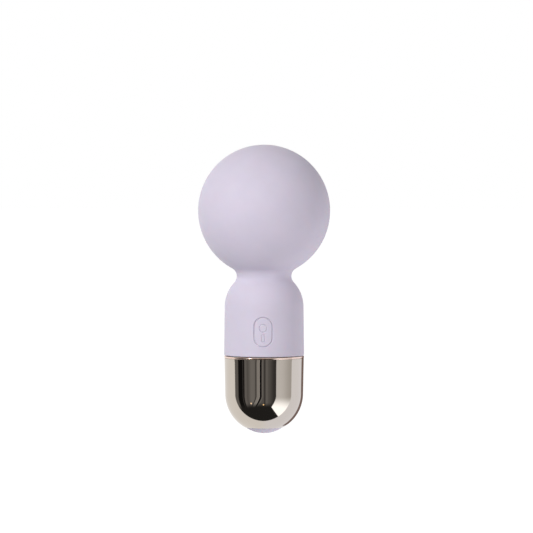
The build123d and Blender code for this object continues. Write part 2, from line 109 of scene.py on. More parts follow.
def circle_meet(centre_a, radius_a, centre_b, radius_b):
    """Where two circles cross, on the left of the way from a to b."""
    dr = centre_b[0] - centre_a[0]
    dz = centre_b[1] - centre_a[1]
    apart = math.hypot(dr, dz)
    along = (apart**2 + radius_a**2 - radius_b**2) / (2 * apart)
    across = math.sqrt(radius_a**2 - along**2)
    return (
        centre_a[0] + (along * dr - across * dz) / apart,
        centre_a[1] + (along * dz + across * dr) / apart,
    )


BALL_CENTRE = (0.0, BALL_Z)
SHOULDER_CENTRE = (HANDLE_TOP_RADIUS - SHOULDER_RADIUS, SHOULDER_Z)
NECK_CENTRE = circle_meet(
    BALL_CENTRE,
    BALL_RADIUS + NECK_FILLET,
    SHOULDER_CENTRE,
    SHOULDER_RADIUS + NECK_FILLET,
)


def bearing(start, end):
    return math.atan2(end[1] - start[1], end[0] - start[0])


def arc(centre, radius, start, end, steps):
    """Points on a circle from one angle to another, both ends included."""
    points = []
    for step in range(steps + 1):
        angle = start + (end - start) * step / steps
        points.append((centre[0] + radius * math.cos(angle), centre[1] + radius * math.sin(angle)))
    return points


def ball_to_seam(inset, ball_steps, neck_steps):
    """The skin from the top of the ball down to the middle of the neck."""
    ball_end = bearing(BALL_CENTRE, NECK_CENTRE)
    fillet = NECK_FILLET + inset
    seam_angle = math.pi + math.asin((NECK_CENTRE[1] - SEAM_Z) / fillet)
    points = arc(BALL_CENTRE, BALL_RADIUS - inset, math.pi / 2, ball_end, ball_steps)
    points += arc(NECK_CENTRE, fillet, math.pi + ball_end, seam_angle, neck_steps)[1:]
    points[0] = (0.0, points[0][1])
    return points


def seam_to_shoulder(inset, neck_steps, shoulder_steps):
    """The skin from the middle of the neck down to the top of the straight handle."""
    shoulder_end = bearing(SHOULDER_CENTRE, NECK_CENTRE)
    fillet = NECK_FILLET + inset
    seam_angle = math.pi + math.asin((NECK_CENTRE[1] - SEAM_Z) / fillet)
    points = arc(NECK_CENTRE, fillet, seam_angle, math.pi + shoulder_end, neck_steps)
    points += arc(SHOULDER_CENTRE, SHOULDER_RADIUS - inset, shoulder_end, 0.0, shoulder_steps)[1:]
    return points


def handle_radius(z):
    """Outer radius of the straight part of the handle, which tapers a little towards the top."""
    share = (z - SKIN_BOTTOM_Z) / (SHOULDER_Z - SKIN_BOTTOM_Z)
    return HANDLE_BOTTOM_RADIUS + (HANDLE_TOP_RADIUS - HANDLE_BOTTOM_RADIUS) * share


# ---- meshes ----

def new_object(name, vertices, faces, material, sharp_deg=35.0):
    """An object from the faces given, with the vertices that they use."""
    used = sorted({index for face in faces for index in face})
    number = {index: order for order, index in enumerate(used)}
    points = [tuple(vertices[index]) for index in used]
    mesh = bpy.data.meshes.new(name)
    mesh.from_pydata(points, [], [[number[index] for index in face] for face in faces])
    mesh.validate()
    mesh.shade_smooth()
    mesh.set_sharp_from_angle(angle=math.radians(sharp_deg))
    mesh.update()
    obj = bpy.data.objects.new(name, mesh)
    bpy.context.scene.collection.objects.link(obj)
    obj.data.materials.append(material)
    return obj


class Grid:
    """Rings of vertices about Z, one for each point of an outline, and the faces between them."""

    def __init__(self, columns):
        self.columns = columns
        self.vertices = []
        self.faces = []

    def ring(self, r, z):
        """A ring of vertices from the front round by the right, or the same one on the axis."""
        first = len(self.vertices)
        if r == 0.0:
            self.vertices.append((0.0, 0.0, z))
            return [first] * self.columns
        for column in range(self.columns):
            angle = 2 * math.pi * column / self.columns
            self.vertices.append((r * math.sin(angle), -r * math.cos(angle), z))
        return list(range(first, first + self.columns))

    def strip(self, upper, lower, skip=()):
        """Faces between two rings, turned outwards where upper to lower runs down the outside."""
        count = len(upper)
        for column in range(count):
            if column in skip:
                continue
            after = (column + 1) % count
            corners = [upper[column], lower[column], lower[after], upper[after]]
            face = []
            for corner in corners:
                if corner not in face:
                    face.append(corner)
            self.faces.append(face)


def turned(name, outline, material, columns=COLUMNS, sharp_deg=35.0):
    """A closed solid turned about Z from a closed outline that runs down its outside."""
    grid = Grid(columns)
    rings = [grid.ring(r, z) for r, z in outline]
    for above, below in zip(rings, rings[1:] + rings[:1]):
        if above[0] == above[1] and below[0] == below[1]:
            continue
        grid.strip(above, below)
    return new_object(name, grid.vertices, grid.faces, material, sharp_deg)


def stadium_reach(ux, uz, offset):
    """Distance from the button's centre to its outline grown by offset, in direction (ux, uz)."""
    radius = PAD_HALF_WIDTH + offset
    if abs(ux) > 1e-9 and abs(radius / ux * uz) <= PAD_STRAIGHT:
        return radius / abs(ux)
    side = 1.0 if uz > 0 else -1.0
    return side * PAD_STRAIGHT * uz + math.sqrt(radius**2 - (PAD_STRAIGHT * ux) ** 2)


def on_handle(x, dz, depth, inset=0.0):
    """A point of the handle seen from the front, by its depth under a surface inset in the skin."""
    z = BUTTON_Z + dz
    radius = handle_radius(z) - inset
    return (x, -math.sqrt(radius**2 - x**2) + depth, z)


def patch_rings(grid, border, steps):
    """Rings of vertices from a rectangular border in to the button's opening."""
    directions = []
    for index in border:
        x, _, z = grid.vertices[index]
        length = math.hypot(x, z - BUTTON_Z)
        directions.append((x / length, (z - BUTTON_Z) / length, length))
    rings = [border]
    for share, offset, depth, inset in steps:
        first = len(grid.vertices)
        for ux, uz, length in directions:
            reach = stadium_reach(ux, uz, offset)
            reach += (length - reach) * share
            grid.vertices.append(on_handle(ux * reach, uz * reach, depth, inset))
        rings.append(list(range(first, first + len(border))))
    return rings


def front_columns():
    """The columns of the button's patch, from left to right seen from the front."""
    return [column % COLUMNS for column in range(-PATCH_COLUMNS, PATCH_COLUMNS)]


def patch_border(levels):
    """The patch's border on rings from the top down, from its upper left by its lower left."""
    border = [level[-PATCH_COLUMNS % COLUMNS] for level in levels[:-1]]
    border += [levels[-1][column] for column in front_columns()]
    border += [level[PATCH_COLUMNS] for level in reversed(levels[1:])]
    border += [levels[0][(column + 1) % COLUMNS] for column in reversed(front_columns())]
    return border


def groove_steps():
    """Steps from the patch's border over the rounded rim, and down to the foot of the groove."""
    rim = 0.15 * MM
    turns = 6
    steps = [(share, GROOVE + rim, 0.0, 0.0) for share in (0.8, 0.6, 0.4, 0.2, 0.08, 0.0)]
    for turn in range(1, turns + 1):
        angle = math.pi / 2 * turn / turns
        offset = GROOVE + rim * (1 - math.sin(angle))
        steps.append((0.0, offset, rim * (1 - math.cos(angle)), 0.0))
    for turn in range(turns + 1):
        angle = math.pi / 2 * turn / turns
        offset = GROOVE - rim * (1 - math.cos(angle))
        steps.append((0.0, offset, GROOVE_DEPTH - rim * (1 - math.sin(angle)), 0.0))
    steps.append((0.0, SLIDE_GAP, GROOVE_DEPTH, 0.0))
    return steps


def skin_below_neck(material):
    """The silicone from mid-neck to the base, with the button's opening and groove."""
    outer = seam_to_shoulder(0.0, neck_steps=30, shoulder_steps=40)
    outer.insert(1, (outer[0][0], SEAM_Z - SEAM_STEP))
    low = BUTTON_Z - PATCH_HALF_HEIGHT
    count = round(2 * PATCH_HALF_HEIGHT / PATCH_STEP)
    patch_z = [low + PATCH_STEP * (count - step) for step in range(count + 1)]
    side = [(handle_radius(z), z) for z in patch_z]
    corner = (handle_radius(SKIN_BOTTOM_Z) - SKIN_LIP, SKIN_BOTTOM_Z + SKIN_LIP)
    lip = arc(corner, SKIN_LIP, 0.0, -math.pi / 2, steps=8)
    inner_lip = [(handle_radius(SKIN_BOTTOM_Z) - SKIN, SKIN_BOTTOM_Z)]
    inner_side = [(r - SKIN, z) for r, z in reversed(side)]
    inner = list(reversed(seam_to_shoulder(SKIN, neck_steps=10, shoulder_steps=16)))
    outline = outer + side + lip + inner_lip + inner_side + inner
    first_patch = len(outer)
    last_patch = first_patch + count
    first_inner = last_patch + 1 + len(lip) + len(inner_lip)
    last_inner = first_inner + count

    grid = Grid(COLUMNS)
    rings = [grid.ring(r, z) for r, z in outline]
    for row, above in enumerate(rings):
        below = rings[(row + 1) % len(rings)]
        on_patch = first_patch <= row < last_patch or first_inner <= row < last_inner
        grid.strip(above, below, front_columns() if on_patch else ())

    outside = patch_border(rings[first_patch:last_patch + 1])
    groove = patch_rings(grid, outside, groove_steps())
    for wide, narrow in zip(groove, groove[1:]):
        grid.strip(narrow, wide)

    # The inner border runs the same way round, so that its rings match the outer ones.
    inside = patch_border(rings[first_inner:last_inner + 1][::-1])
    back_steps = [(share, SLIDE_GAP, 0.0, SKIN) for share in (0.66, 0.33, 0.0)]
    back = patch_rings(grid, inside, back_steps)
    for wide, narrow in zip(back, back[1:]):
        grid.strip(wide, narrow)
    grid.strip(back[-1], groove[-1])
    return new_object("handle_sleeve", grid.vertices, grid.faces, material, sharp_deg=50.0)


def skin_above_neck(material):
    """The silicone from mid-neck over the ball."""
    outer = ball_to_seam(0.0, ball_steps=104, neck_steps=30)
    outer.insert(-1, (outer[-1][0], SEAM_Z + SEAM_STEP))
    inner = list(reversed(ball_to_seam(SKIN, ball_steps=40, neck_steps=10)))
    return turned("ball_sleeve", outer + inner, material, sharp_deg=50.0)


# ---- the button ----

RING_Z = 1.36 * MM
RING_RADIUS = 1.36 * MM
BAR_Z = -2.2 * MM
BAR_HALF = 0.8 * MM
BAR_RADIUS = 0.55 * MM
MARK_STROKE = 0.19 * MM
MARK_DEPTH = 0.24 * MM


def mark_depth(x, dz):
    """Depth of the engraved on and off marks, a ring with a short rounded bar under it."""
    from_ring = abs(math.hypot(x, dz - RING_Z) - RING_RADIUS)
    along = max(-BAR_HALF, min(BAR_HALF, dz - BAR_Z))
    from_bar = abs(math.hypot(x, dz - BAR_Z - along) - BAR_RADIUS)
    nearest = min(from_ring, from_bar) / MARK_STROKE
    if nearest >= 1.0:
        return 0.0
    return MARK_DEPTH * (0.5 + 0.5 * math.cos(math.pi * nearest))


def button_cap(material):
    """The thumb button: a silicone pad with rounded edges and engraved marks."""
    turns, rungs = 64, 64
    rim, rim_turns = 0.16 * MM, 6
    back_edge = 0.03 * MM
    below_rim = 0.3 * MM
    top_rings = 56
    spokes = []
    for step in range(turns):
        angle = math.pi * step / turns
        spokes.append((math.cos(angle), math.sin(angle), PAD_STRAIGHT))
    for step in range(rungs):
        spokes.append((-1.0, 0.0, PAD_STRAIGHT * (1 - 2 * step / rungs)))
    for step in range(turns):
        angle = math.pi * (1 + step / turns)
        spokes.append((math.cos(angle), math.sin(angle), -PAD_STRAIGHT))
    for step in range(rungs):
        spokes.append((1.0, 0.0, PAD_STRAIGHT * (2 * step / rungs - 1)))
    grid = Grid(len(spokes))

    def ring(offset, depth, flat_y=None):
        """The pad's outline grown by offset, at a depth under the handle's surface or at flat_y."""
        first = len(grid.vertices)
        radius = PAD_HALF_WIDTH + offset
        for ux, uz, along in spokes:
            x, dz = ux * radius, along + uz * radius
            x, y, z = on_handle(x, dz, depth + mark_depth(x, dz))
            grid.vertices.append((x, y if flat_y is None else flat_y, z))
        return list(range(first, first + len(spokes)))

    rings = [ring(-share * PAD_HALF_WIDTH, 0.0, PAD_BACK_Y) for share in (0.95, 0.6, 0.25, 0.02)]
    rings.append(ring(0.0, 0.0, PAD_BACK_Y - back_edge))
    rings.append(ring(0.0, rim + below_rim))
    for turn in range(rim_turns + 1):
        angle = math.pi / 2 * turn / rim_turns
        rings.append(ring(-rim * (1 - math.cos(angle)), rim * (1 - math.sin(angle))))
    for step in range(1, top_rings):
        rings.append(ring(-rim - (PAD_HALF_WIDTH - rim) * step / top_rings, 0.0))
    for deep, shallow in zip(rings, rings[1:]):
        grid.strip(shallow, deep)
    grid.faces.append(list(reversed(rings[0])))

    # The last ring is closed by rungs across the middle, with a cap at each end.
    last = rings[-1]
    left = last[turns:turns + rungs] + [last[turns + rungs]]
    right = [last[0]] + last[:turns + rungs + turns - 1:-1]
    for step in range(rungs):
        grid.faces.append([right[step], left[step], left[step + 1], right[step + 1]])
    grid.faces.append(last[:turns + 1])
    grid.faces.append(last[turns + rungs:turns + rungs + turns + 1])
    return new_object("button_cap", grid.vertices, grid.faces, material, sharp_deg=50.0)


# ---- the base ----

def base_shell(material):
    """The plated cup: a straight side that widens a little towards its rim, and a round bottom."""
    top_radius, top = BASE_HIGH[0], BASE_HIGH[2]
    wall = 1.4 * MM
    edge = 0.02 * MM
    lip = 0.12 * MM
    side_steps = 12
    side = []
    for step in range(side_steps + 1):
        share = 1 - step / side_steps
        z = BASE_BALL_Z + (top - edge - BASE_BALL_Z) * share
        side.append((BASE_RADIUS + (top_radius - BASE_RADIUS) * share, z))
    rim = arc((top_radius - edge, top - edge), edge, math.pi / 2, 0.0, steps=6)[:-1]
    end = -math.acos((PORT_RADIUS + lip) / BASE_RADIUS)
    bottom = arc((0.0, BASE_BALL_Z), BASE_RADIUS, 0.0, end, steps=72)[1:]
    lip_centre = (PORT_RADIUS + lip, bottom[-1][1] + lip)
    mouth = arc(lip_centre, lip, -math.pi / 2, -math.pi, steps=6)[1:]
    inner = BASE_RADIUS - wall
    inner_angle = -math.acos(PORT_RADIUS / inner)
    hollow = list(reversed(arc((0.0, BASE_BALL_Z), inner, 0.0, inner_angle, steps=30)))
    outline = rim + side + bottom + mouth + hollow + [(inner, top)]
    return turned("plated_cup", outline, material, sharp_deg=40.0)


def trim(material):
    """The thin rose-gold ring on the cup's rim, with a rounded outer edge."""
    gap = 0.02 * MM
    low, high = TRIM_LOW[2] + gap, TRIM_HIGH[2]
    inner = 12.75 * MM
    swell, set_in = 0.22 * MM, 0.14 * MM
    outer = TRIM_HIGH[0] - set_in
    half = (high - low) / 2
    steps = 16
    bead = []
    for step in range(steps + 1):
        angle = math.pi / 2 - math.pi * step / steps
        bead.append((outer + swell * math.cos(angle), low + half + half * math.sin(angle)))
    return turned("trim_bead", bead + [(inner, low), (inner, high)], material, sharp_deg=60.0)


def port_cover(material):
    """The silicone dome that closes the charging socket, with the step that seats in the cup."""
    radius = FLAP_HIGH[0]
    rise = 2.15 * MM
    dome = (radius**2 + rise**2) / (2 * rise)
    edge = 0.25 * MM
    edge_angle = -math.pi / 2 + math.asin((radius - 0.6 * edge) / dome)
    boss = 4.4 * MM
    seat_edge = 0.2 * MM
    corner = 0.05 * MM
    shelf = 2.8 * MM
    upper_edge = 0.15 * MM
    top = FLAP_HIGH[2]
    outside = arc((0.0, dome), dome, edge_angle, -math.pi / 2, steps=40)
    outside[-1] = (0.0, FLAP_LOW[2])
    seat = arc((boss - seat_edge, top - seat_edge), seat_edge, math.pi / 2, 0.0, steps=6)
    inner_corner = [(boss, shelf + corner), (boss + corner, shelf)]
    shelf_corner = (radius - upper_edge, shelf - upper_edge)
    upper = arc(shelf_corner, upper_edge, math.pi / 2, 0.0, steps=5)
    side = arc((radius - edge, rise + edge), edge, 0.0, -math.pi / 3, steps=6)
    outline = [(0.0, top)] + seat + inner_corner + upper + side + outside
    return turned("port_cover", outline, material, columns=200, sharp_deg=50.0)


def flap_tongue(material):
    """The port cover's strap: a block with rounded edges, cut across Z in even steps."""
    edge = 0.3 * MM
    cuts = 16
    corner_steps = 5
    centre = [(a + b) / 2 for a, b in zip(STRAP_LOW, STRAP_HIGH)]
    half = [(b - a) / 2 for a, b in zip(STRAP_LOW, STRAP_HIGH)]
    across = []
    for quadrant, (sx, sy) in enumerate(((1, 1), (-1, 1), (-1, -1), (1, -1))):
        for step in range(corner_steps + 1):
            angle = math.pi / 2 * (quadrant + step / corner_steps)
            x = centre[0] + sx * (half[0] - edge) + edge * math.cos(angle)
            y = centre[1] + sy * (half[1] - edge) + edge * math.sin(angle)
            across.append((x, y))
    count = len(across)
    vertices = []
    for level in range(cuts + 1):
        z = STRAP_LOW[2] + (STRAP_HIGH[2] - STRAP_LOW[2]) * level / cuts
        vertices += [(x, y, z) for x, y in across]
    faces = []
    for level in range(cuts):
        for step in range(count):
            after = (step + 1) % count
            base = level * count
            faces.append([base + step, base + after, base + count + after, base + count + step])
    faces.append(list(reversed(range(count))))
    faces.append(list(range(cuts * count, (cuts + 1) * count)))
    return new_object("flap_tongue", vertices, faces, material)


# ---- the neck's inside ----

def coupling_half(name, low, high, material):
    """Half of the rubber coupling, from one end to the middle of the neck."""
    bore = 4.2 * MM
    body = COUPLING_HIGH[0]
    waist = 1.0 * MM
    middle = (COUPLING_LOW[2] + COUPLING_HIGH[2]) / 2
    reach = (COUPLING_HIGH[2] - COUPLING_LOW[2]) / 2 - CLAMP_HEIGHT
    outline = []
    steps = 24
    for step in range(steps + 1):
        z = high - (high - low) * step / steps
        share = min(1.0, abs(z - middle) / reach)
        outline.append((body - waist * (1 - share**2), z))
    for step in range(steps + 1):
        outline.append((bore, low + (high - low) * step / steps))
    return turned(name, outline, material, columns=96)


def lead_half(name, side, points, material):
    """One insulated wire along a route, as a closed tube."""
    curve = bpy.data.curves.new(name, "CURVE")
    curve.dimensions = "3D"
    curve.bevel_depth = LEAD_RADIUS
    curve.bevel_resolution = 4
    curve.resolution_u = 16
    curve.use_fill_caps = True
    spline = curve.splines.new("NURBS")
    spline.points.add(len(points) - 1)
    for point, (x, y, z) in zip(spline.points, points):
        point.co = (side * x, y, z, 1.0)
    spline.order_u = 3
    spline.use_endpoint_u = True
    holder = bpy.data.objects.new(name + "_path", curve)
    bpy.context.scene.collection.objects.link(holder)
    mesh = bpy.data.meshes.new_from_object(holder)
    bpy.data.objects.remove(holder)
    closed = bmesh.new()
    closed.from_mesh(mesh)
    bmesh.ops.remove_doubles(closed, verts=closed.verts, dist=0.001 * MM)
    bmesh.ops.recalc_face_normals(closed, faces=closed.faces)
    closed.to_mesh(mesh)
    closed.free()
    mesh.shade_smooth()
    obj = bpy.data.objects.new(name, mesh)
    bpy.context.scene.collection.objects.link(obj)
    obj.data.materials.clear()
    obj.data.materials.append(material)
    return obj


# ---- materials ----

class Surface:
    """A procedural material, built up node by node from the object's own coordinates."""

    def __init__(self, name, roughness, metallic=0.0):
        self.material = bpy.data.materials.new(name)
        self.material.use_nodes = True
        self.tree = self.material.node_tree
        self.shader = self.tree.nodes["Principled BSDF"]
        self.shader.inputs["Roughness"].default_value = roughness
        self.shader.inputs["Metallic"].default_value = metallic
        self.place = self.tree.nodes.new("ShaderNodeTexCoord").outputs["Object"]
        self.normal = None

    def stretched(self, scale):
        node = self.tree.nodes.new("ShaderNodeMapping")
        node.inputs["Scale"].default_value = scale
        self.tree.links.new(self.place, node.inputs["Vector"])
        return node.outputs["Vector"]

    def noise(self, scale, detail=3.0, roughness=0.55, stretch=None):
        node = self.tree.nodes.new("ShaderNodeTexNoise")
        node.inputs["Scale"].default_value = scale
        node.inputs["Detail"].default_value = detail
        node.inputs["Roughness"].default_value = roughness
        source = self.stretched(stretch) if stretch else self.place
        self.tree.links.new(source, node.inputs["Vector"])
        return node.outputs["Fac"]

    def cells(self, scale):
        node = self.tree.nodes.new("ShaderNodeTexVoronoi")
        node.inputs["Scale"].default_value = scale
        self.tree.links.new(self.place, node.inputs["Vector"])
        return node.outputs["Distance"]

    def bands(self, scale, direction, distortion=0.0):
        node = self.tree.nodes.new("ShaderNodeTexWave")
        node.bands_direction = direction
        node.inputs["Scale"].default_value = scale
        node.inputs["Distortion"].default_value = distortion
        self.tree.links.new(self.place, node.inputs["Vector"])
        return node.outputs["Fac"]

    def ranged(self, value, low, high, start=0.3, end=0.7):
        node = self.tree.nodes.new("ShaderNodeMapRange")
        node.inputs["From Min"].default_value = start
        node.inputs["From Max"].default_value = end
        node.inputs["To Min"].default_value = low
        node.inputs["To Max"].default_value = high
        self.tree.links.new(value, node.inputs["Value"])
        return node.outputs["Result"]

    def colours(self, value, *stops):
        """Colours along a ramp. Each stop is (position, (r, g, b))."""
        node = self.tree.nodes.new("ShaderNodeValToRGB")
        ramp = node.color_ramp
        while len(ramp.elements) < len(stops):
            ramp.elements.new(0.5)
        for element, (position, colour) in zip(ramp.elements, stops):
            element.position = position
            element.color = (*colour, 1.0)
        self.tree.links.new(value, node.inputs["Fac"])
        self.tree.links.new(node.outputs["Color"], self.shader.inputs["Base Color"])

    def rough(self, value, low, high):
        self.tree.links.new(self.ranged(value, low, high), self.shader.inputs["Roughness"])

    def bump(self, value, height_mm, strength=1.0):
        node = self.tree.nodes.new("ShaderNodeBump")
        node.inputs["Distance"].default_value = height_mm * MM
        node.inputs["Strength"].default_value = strength
        self.tree.links.new(value, node.inputs["Height"])
        if self.normal is not None:
            self.tree.links.new(self.normal, node.inputs["Normal"])
        self.normal = node.outputs["Normal"]
        self.tree.links.new(self.normal, self.shader.inputs["Normal"])

    def set(self, **values):
        for name, value in values.items():
            self.shader.inputs[name.replace("_", " ")].default_value = value


def silicone():
    """Soft matte lilac silicone: a fine moulded texture, with faint clouds in tone and gloss."""
    surface = Surface("lilac_silicone", 0.55)
    clouds = surface.noise(90.0, 4.0)
    surface.colours(clouds, (0.3, (0.620, 0.575, 0.683)), (0.7, (0.650, 0.600, 0.711)))
    surface.rough(surface.noise(350.0), 0.50, 0.60)
    surface.bump(surface.noise(2600.0, 5.0, 0.6), 0.012, 0.6)
    surface.set(Subsurface_Weight=0.12, Subsurface_Scale=0.0012)
    surface.set(Sheen_Weight=0.12, Sheen_Roughness=0.5, Specular_IOR_Level=0.35)
    return surface.material


def plated():
    """Mirror-bright warm plating, with faint handling marks in its gloss."""
    surface = Surface("plated_metal", 0.04, 1.0)
    film = surface.noise(140.0, 5.0, 0.6, (1.0, 1.0, 0.5))
    surface.colours(film, (0.3, (0.600, 0.553, 0.490)), (0.7, (0.625, 0.575, 0.512)))
    surface.rough(surface.noise(420.0, 6.0, 0.65), 0.025, 0.060)
    surface.bump(surface.noise(55.0, 2.0), 0.012, 0.25)
    return surface.material


def rose_gold():
    surface = Surface("rose_gold_plating", 0.16, 1.0)
    surface.colours(surface.noise(300.0), (0.3, (0.84, 0.66, 0.57)), (0.7, (0.90, 0.72, 0.63)))
    surface.rough(surface.noise(900.0, 4.0, 0.6), 0.12, 0.15)
    surface.bump(surface.noise(3000.0, 2.0, 0.5, (1.0, 1.0, 6.0)), 0.001, 0.15)
    return surface.material


def moulded(name, dark, light, roughness, grain_mm=0.02):
    """Moulded plastic: a fine spark-eroded grain and slight flow clouds."""
    surface = Surface(name, roughness)
    surface.colours(surface.noise(160.0, 3.0), (0.3, dark), (0.7, light))
    surface.rough(surface.noise(500.0), roughness - 0.06, roughness + 0.08)
    surface.bump(surface.noise(3500.0, 4.0, 0.65), grain_mm, 0.5)
    return surface.material


def rubber():
    surface = Surface("black_rubber", 0.72)
    clouds = surface.noise(240.0)
    surface.colours(clouds, (0.3, (0.018, 0.018, 0.019)), (0.7, (0.034, 0.034, 0.035)))
    surface.rough(surface.noise(700.0), 0.62, 0.82)
    surface.bump(surface.noise(2200.0, 5.0, 0.7), 0.03, 0.6)
    surface.set(Sheen_Weight=0.2)
    return surface.material


def foam():
    surface = Surface("grey_foam", 0.95)
    # Darker towards the middle of each cell, where the bump sinks into a pore: painted shade in the pores.
    surface.colours(surface.cells(1500.0), (0.0, (0.09, 0.09, 0.10)), (0.6, (0.22, 0.22, 0.24)))
    surface.bump(surface.cells(1500.0), 0.2, 0.8)
    return surface.material


def metal(name, dark, light, roughness, stretch=(1.0, 1.0, 14.0)):
    """Turned or drawn metal, with fine marks along its length."""
    surface = Surface(name, roughness, 1.0)
    marks = surface.noise(700.0, 5.0, 0.6, stretch)
    surface.colours(marks, (0.3, dark), (0.7, light))
    surface.rough(marks, roughness - 0.08, roughness + 0.12)
    surface.bump(marks, 0.006, 0.5)
    return surface.material


def circuit_board():
    """Green solder mask over copper tracks, which show as lighter ridges."""
    surface = Surface("solder_mask", 0.32)
    tracks = surface.bands(330.0, "DIAGONAL", 3.0)
    surface.colours(tracks, (0.42, (0.012, 0.110, 0.045)), (0.58, (0.030, 0.205, 0.085)))
    surface.rough(surface.noise(500.0), 0.25, 0.42)
    surface.bump(tracks, 0.02, 0.5)
    surface.set(Coat_Weight=0.4, Coat_Roughness=0.2)
    return surface.material


def chip():
    surface = Surface("chip_package", 0.58)
    clouds = surface.noise(900.0)
    surface.colours(clouds, (0.3, (0.022, 0.022, 0.024)), (0.7, (0.040, 0.040, 0.043)))
    surface.bump(surface.cells(6000.0), 0.02, 0.5)
    return surface.material


def cell_wrap():
    """Shrink wrap over the cell, with the slight ripples that shrinking leaves."""
    surface = Surface("cell_wrap", 0.28)
    clouds = surface.noise(120.0)
    surface.colours(clouds, (0.3, (0.028, 0.085, 0.300)), (0.7, (0.042, 0.115, 0.370)))
    surface.rough(surface.noise(600.0), 0.22, 0.36)
    surface.bump(surface.noise(160.0, 3.0, 0.5, (1.0, 1.0, 0.3)), 0.08, 0.5)
    return surface.material


def lead_insulation():
    surface = Surface("lead_insulation", 0.42)
    surface.colours(surface.noise(400.0), (0.3, (0.40, 0.020, 0.016)), (0.7, (0.50, 0.032, 0.026)))
    surface.rough(surface.noise(900.0), 0.36, 0.50)
    surface.bump(surface.noise(1800.0), 0.01, 0.5)
    return surface.material


def core_steel():
    """The stacked laminations of the motor's core."""
    surface = Surface("laminated_steel", 0.38, 1.0)
    sheets = surface.bands(900.0, "Z")
    surface.colours(sheets, (0.3, (0.16, 0.155, 0.15)), (0.7, (0.42, 0.41, 0.40)))
    surface.rough(surface.noise(700.0), 0.32, 0.48)
    surface.bump(sheets, 0.04, 0.7)
    return surface.material


MATERIALS = {
    "lilac_silicone": silicone(),
    "plated_base": plated(),
    "rose_gold": rose_gold(),
    "white_shell": moulded("shell_plastic", (0.66, 0.66, 0.67), (0.73, 0.73, 0.74), 0.42),
    "black_plastic": moulded("black_plastic", (0.016, 0.016, 0.018), (0.030, 0.030, 0.033), 0.40),
    "black_rubber": rubber(),
    "grey_foam": foam(),
    "zinc_steel": metal("zinc_steel", (0.48, 0.50, 0.53), (0.62, 0.63, 0.66), 0.30),
    "nickel_tab": metal("nickel_strip", (0.55, 0.53, 0.48), (0.68, 0.66, 0.61), 0.28),
    "green_board": circuit_board(),
    "chip_black": chip(),
    "cell_wrap": cell_wrap(),
    "lead_red": lead_insulation(),
    "magnet": moulded("sintered_magnet", (0.060, 0.060, 0.064), (0.110, 0.108, 0.112), 0.55, 0.05),
    "bronze": metal("sintered_bronze", (0.42, 0.25, 0.11), (0.60, 0.38, 0.19), 0.36),
    "core_steel": core_steel(),
    "weight_metal": metal(
        "tungsten_alloy", (0.26, 0.26, 0.27), (0.38, 0.38, 0.39), 0.42, (6.0, 6.0, 1.0)
    ),
}

for part in frame["record"]["subparts"]:
    node = frame["nodes"][part["node"]]
    node.data.materials.clear()
    node.data.materials.append(MATERIALS[part["material_slot"]])


# ---- pieces ----

def place(piece, body, slot_name, *nodes):
    """Hide the CAD nodes that a piece stands for, and attach the piece to its body if it is rigid. The material
    slot name is not used.
    """
    if nodes:
        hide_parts(*nodes)
    if body:
        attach(piece, body)


lower_skin = skin_below_neck(MATERIALS["lilac_silicone"])
place(lower_skin, None, "lilac_silicone", "handle_skin", "neck_skin")
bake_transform(lower_skin)

upper_skin = skin_above_neck(MATERIALS["lilac_silicone"])
place(upper_skin, None, "lilac_silicone", "head_skin")
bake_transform(upper_skin)

place(button_cap(MATERIALS["lilac_silicone"]), "button", "lilac_silicone", "button_pad")
place(base_shell(MATERIALS["plated_base"]), "handle", "plated_base", "base_cup")
place(trim(MATERIALS["rose_gold"]), "handle", "rose_gold", "trim_ring")
place(port_cover(MATERIALS["lilac_silicone"]), "flap", "lilac_silicone", "port_flap")

strap = flap_tongue(MATERIALS["lilac_silicone"])
place(strap, None, "lilac_silicone", "flap_strap")
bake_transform(strap)

rubber_look = MATERIALS["black_rubber"]
lower_coupling = coupling_half("coupling_lower", COUPLING_LOW[2], SEAM_Z, rubber_look)
place(lower_coupling, None, "black_rubber", "neck_coupling")
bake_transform(lower_coupling)
upper_coupling = coupling_half("coupling_upper", SEAM_Z, COUPLING_HIGH[2], rubber_look)
place(upper_coupling, None, "black_rubber")
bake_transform(upper_coupling)

LEAD_X = LEAD_HIGH[0] - LEAD_RADIUS
BOARD_LEAD_Y = LEAD_LOW[1] + LEAD_RADIUS
LEAD_BEND_LOW_Z, LEAD_BEND_HIGH_Z = 49.5 * MM, 52.6 * MM
for side, side_name in ((-1, "left"), (1, "right")):
    low_route = [
        (LEAD_X, BOARD_LEAD_Y, LEAD_LOW[2]),
        (LEAD_X, BOARD_LEAD_Y, LEAD_BEND_LOW_Z),
        (LEAD_X, 0.0, LEAD_BEND_HIGH_Z),
        (LEAD_X, 0.0, SEAM_Z),
    ]
    high_route = [
        (LEAD_X, 0.0, SEAM_Z),
        (LEAD_X, 0.0, (SEAM_Z + LEAD_HIGH[2]) / 2),
        (LEAD_X, 0.0, LEAD_HIGH[2]),
    ]
    replaced = ["motor_leads"] if side < 0 else []
    low_lead = lead_half(f"motor_lead_lower_{side_name}", side, low_route, MATERIALS["lead_red"])
    place(low_lead, None, "lead_red", *replaced)
    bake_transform(low_lead)
    high_lead = lead_half(f"motor_lead_upper_{side_name}", side, high_route, MATERIALS["lead_red"])
    place(high_lead, None, "lead_red")
    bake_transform(high_lead)


# ---- floor ----

